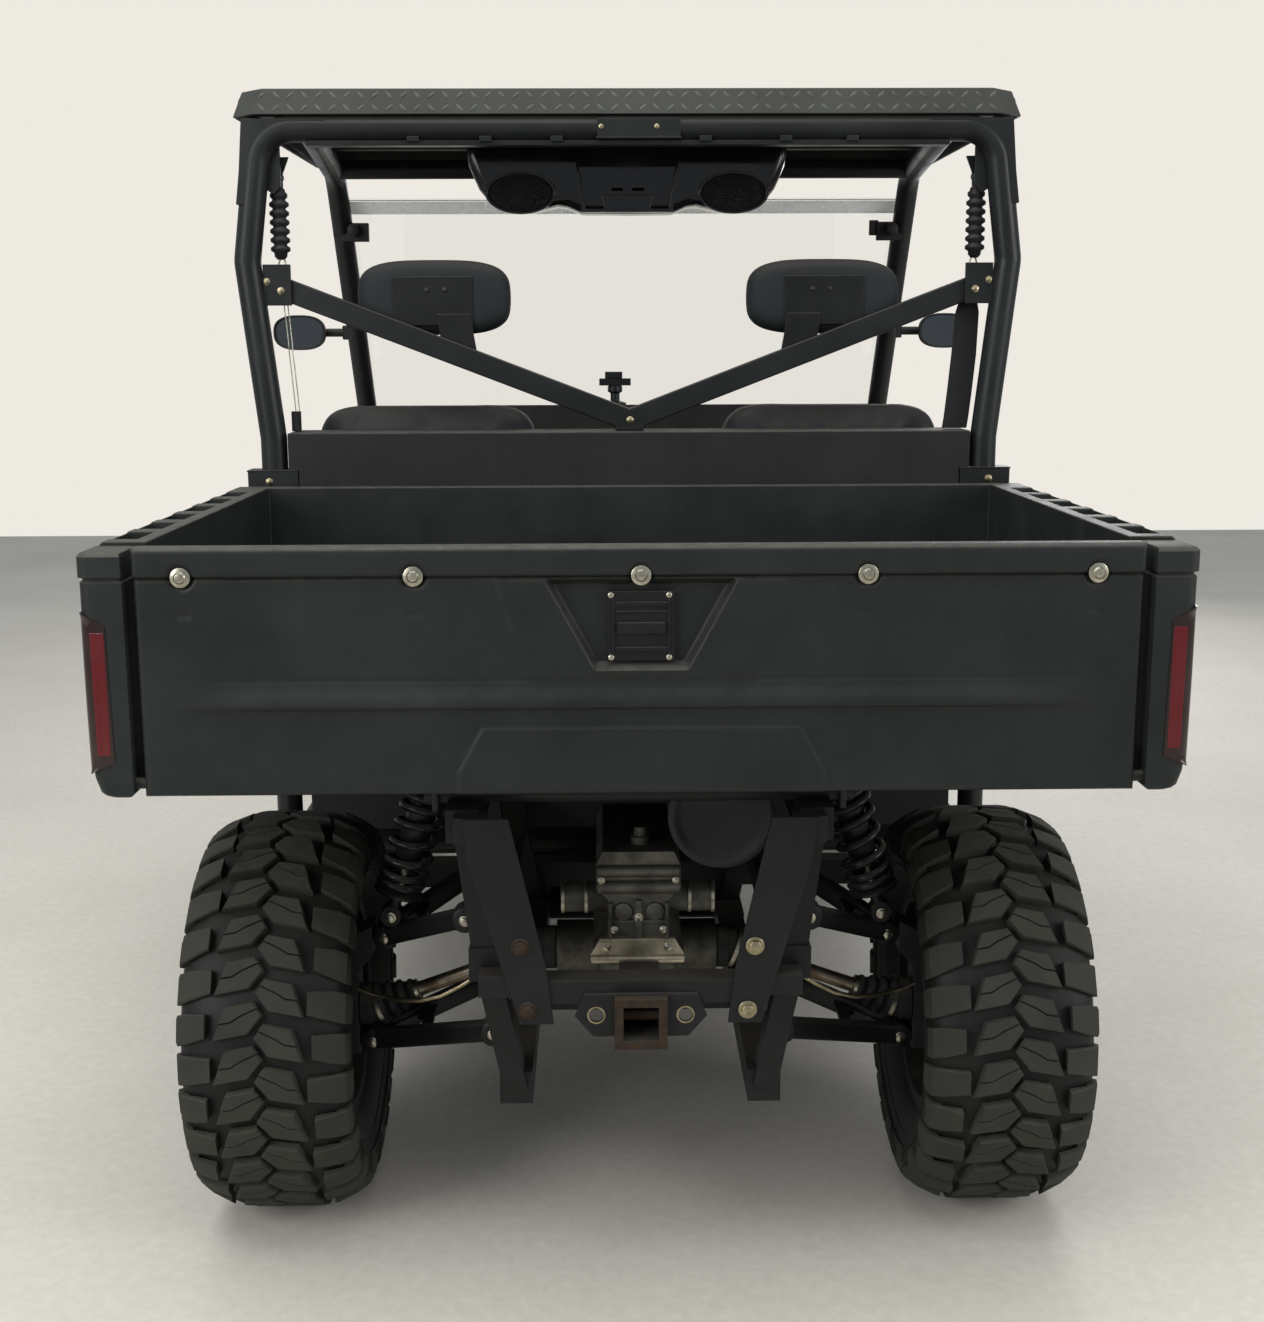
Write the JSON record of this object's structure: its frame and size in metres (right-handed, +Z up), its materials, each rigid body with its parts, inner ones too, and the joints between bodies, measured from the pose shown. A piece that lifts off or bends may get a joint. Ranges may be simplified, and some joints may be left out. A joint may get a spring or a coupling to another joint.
{
  "type": "side by side utv",
  "caption": "Open cab side by side utility vehicle with a folded roof, rear cage with crossed braces, tilting cargo bed, tailgate, coil-over suspension and knobbly tyres.",
  "frame": {"origin": "on the ground below the middle of the vehicle's box", "axes": "+X to the vehicle's right, +Y to its front, +Z up"},
  "size_m": [1.794, 2.9599, 1.908],
  "materials": {
    "frame_paint": "satin black powder coat",
    "cage_paint": "satin black powder coat",
    "black_plastic": "grained moulded plastic",
    "body_plastic": "satin moulded plastic",
    "bed_plastic": "fine grained moulded plastic",
    "gloss_plastic": "gloss moulded plastic",
    "roof_plate": "tread plate with satin coat",
    "cast_metal": "bare casting",
    "muffler_steel": "heat proof coat",
    "upright_iron": "painted casting",
    "shaft_steel": "drawn steel",
    "spring_paint": "gloss black coat",
    "lamp_glass": "clear moulded lens",
    "lamp_red": "red moulded lens",
    "latch_steel": "gloss black coat",
    "seat_vinyl": "grained vinyl",
    "headrest_foam": "integral skin foam",
    "clear_sheet": "clear polycarbonate",
    "mirror_shell": "moulded shell",
    "belt_web": "woven webbing",
    "grip_rubber": "moulded grip",
    "tyre_rubber": "worn tread",
    "rim_paint": "satin black coat"
  },
  "bodies": {
    "chassis": {"main_frame": "frame_paint", "hitch_frame": "frame_paint", "skid_plate": "black_plastic", "floor_tub": "black_plastic", "seat_base": "black_plastic", "engine": "cast_metal", "transaxle": "cast_metal", "muffler": "muffler_steel", "suspension_arms": "frame_paint", "rear_uprights": "upright_iron", "half_shafts": "shaft_steel", "shock_absorbers": "spring_paint", "front_gearcase": "cast_metal", "front_bumper": "frame_paint", "front_fenders": "body_plastic", "headlamps": "lamp_glass", "hood": "body_plastic", "front_fascia": "black_plastic", "dashboard": "black_plastic", "steering_column": "black_plastic", "seats": "seat_vinyl", "rear_cab_panel": "black_plastic", "rear_hoop": "cage_paint", "x_brace": "cage_paint", "cage_front": "cage_paint", "roof": "roof_plate", "overhead_pod": "gloss_plastic", "headrests": "headrest_foam", "windshield": "clear_sheet", "mirrors": "mirror_shell", "seat_belts": "belt_web"},
    "knuckle_left": {"front_knuckle_left": "upright_iron"},
    "knuckle_right": {"front_knuckle_right": "upright_iron"},
    "wheel_front_left": {"tyre_front_left": "tyre_rubber", "rim_front_left": "rim_paint"},
    "wheel_front_right": {"tyre_front_right": "tyre_rubber", "rim_front_right": "rim_paint"},
    "wheel_rear_left": {"tyre_rear_left": "tyre_rubber", "rim_rear_left": "rim_paint"},
    "wheel_rear_right": {"tyre_rear_right": "tyre_rubber", "rim_rear_right": "rim_paint"},
    "bed": {"bed_box": "bed_plastic", "corner_posts": "bed_plastic", "tail_lamps": "lamp_red"},
    "gate": {"tailgate": "bed_plastic", "tailgate_latch": "latch_steel"},
    "hand_wheel": {"steering_wheel": "grip_rubber"},
    "rack": {"steering_rack": "shaft_steel"}
  },
  "joints": [
    {"name": "bed_tilt", "type": "hinge", "parent": "chassis", "child": "bed", "pos_m": [0, -1.29, 0.786], "axis": [1, 0, 0], "range_deg": [0, 40]},
    {"name": "tailgate_hinge", "type": "hinge", "parent": "bed", "child": "gate", "pos_m": [0, -1.46, 0.851], "axis": [1, 0, 0], "range_deg": [0, 90]},
    {"name": "steer_left", "type": "hinge", "parent": "chassis", "child": "knuckle_left", "pos_m": [-0.545, 1.068, 0.331], "axis": [0, 0, 1], "range_deg": [-30, 30]},
    {"name": "steer_right", "type": "hinge", "parent": "chassis", "child": "knuckle_right", "pos_m": [0.545, 1.068, 0.331], "axis": [0, 0, 1], "range_deg": [-30, 30]},
    {"name": "steering_wheel_turn", "type": "hinge", "parent": "chassis", "child": "hand_wheel", "pos_m": [-0.402, 0.452, 1.105], "axis": [0, -0.848, 0.5299], "range_deg": [-270, 270]},
    {"name": "rack_slide", "type": "slide", "parent": "chassis", "child": "rack", "axis": [1, 0, 0], "range_m": [-0.0524, 0.0524]},
    {"name": "spin_front_left", "type": "hinge", "parent": "knuckle_left", "child": "wheel_front_left", "pos_m": [-0.603, 1.068, 0.331], "axis": [1, 0, 0], "continuous": true},
    {"name": "spin_front_right", "type": "hinge", "parent": "knuckle_right", "child": "wheel_front_right", "pos_m": [0.603, 1.068, 0.331], "axis": [1, 0, 0], "continuous": true},
    {"name": "spin_rear_left", "type": "hinge", "parent": "chassis", "child": "wheel_rear_left", "pos_m": [-0.583, -0.989, 0.331], "axis": [1, 0, 0], "continuous": true},
    {"name": "spin_rear_right", "type": "hinge", "parent": "chassis", "child": "wheel_rear_right", "pos_m": [0.583, -0.989, 0.331], "axis": [1, 0, 0], "continuous": true}
  ],
  "couplings": [
    {"joint": "steer_right", "follows": "steer_left", "ratio": 1},
    {"joint": "steering_wheel_turn", "follows": "steer_left", "ratio": 9},
    {"joint": "rack_slide", "follows": "steer_left", "m_per_rad": 0.1}
  ]
}
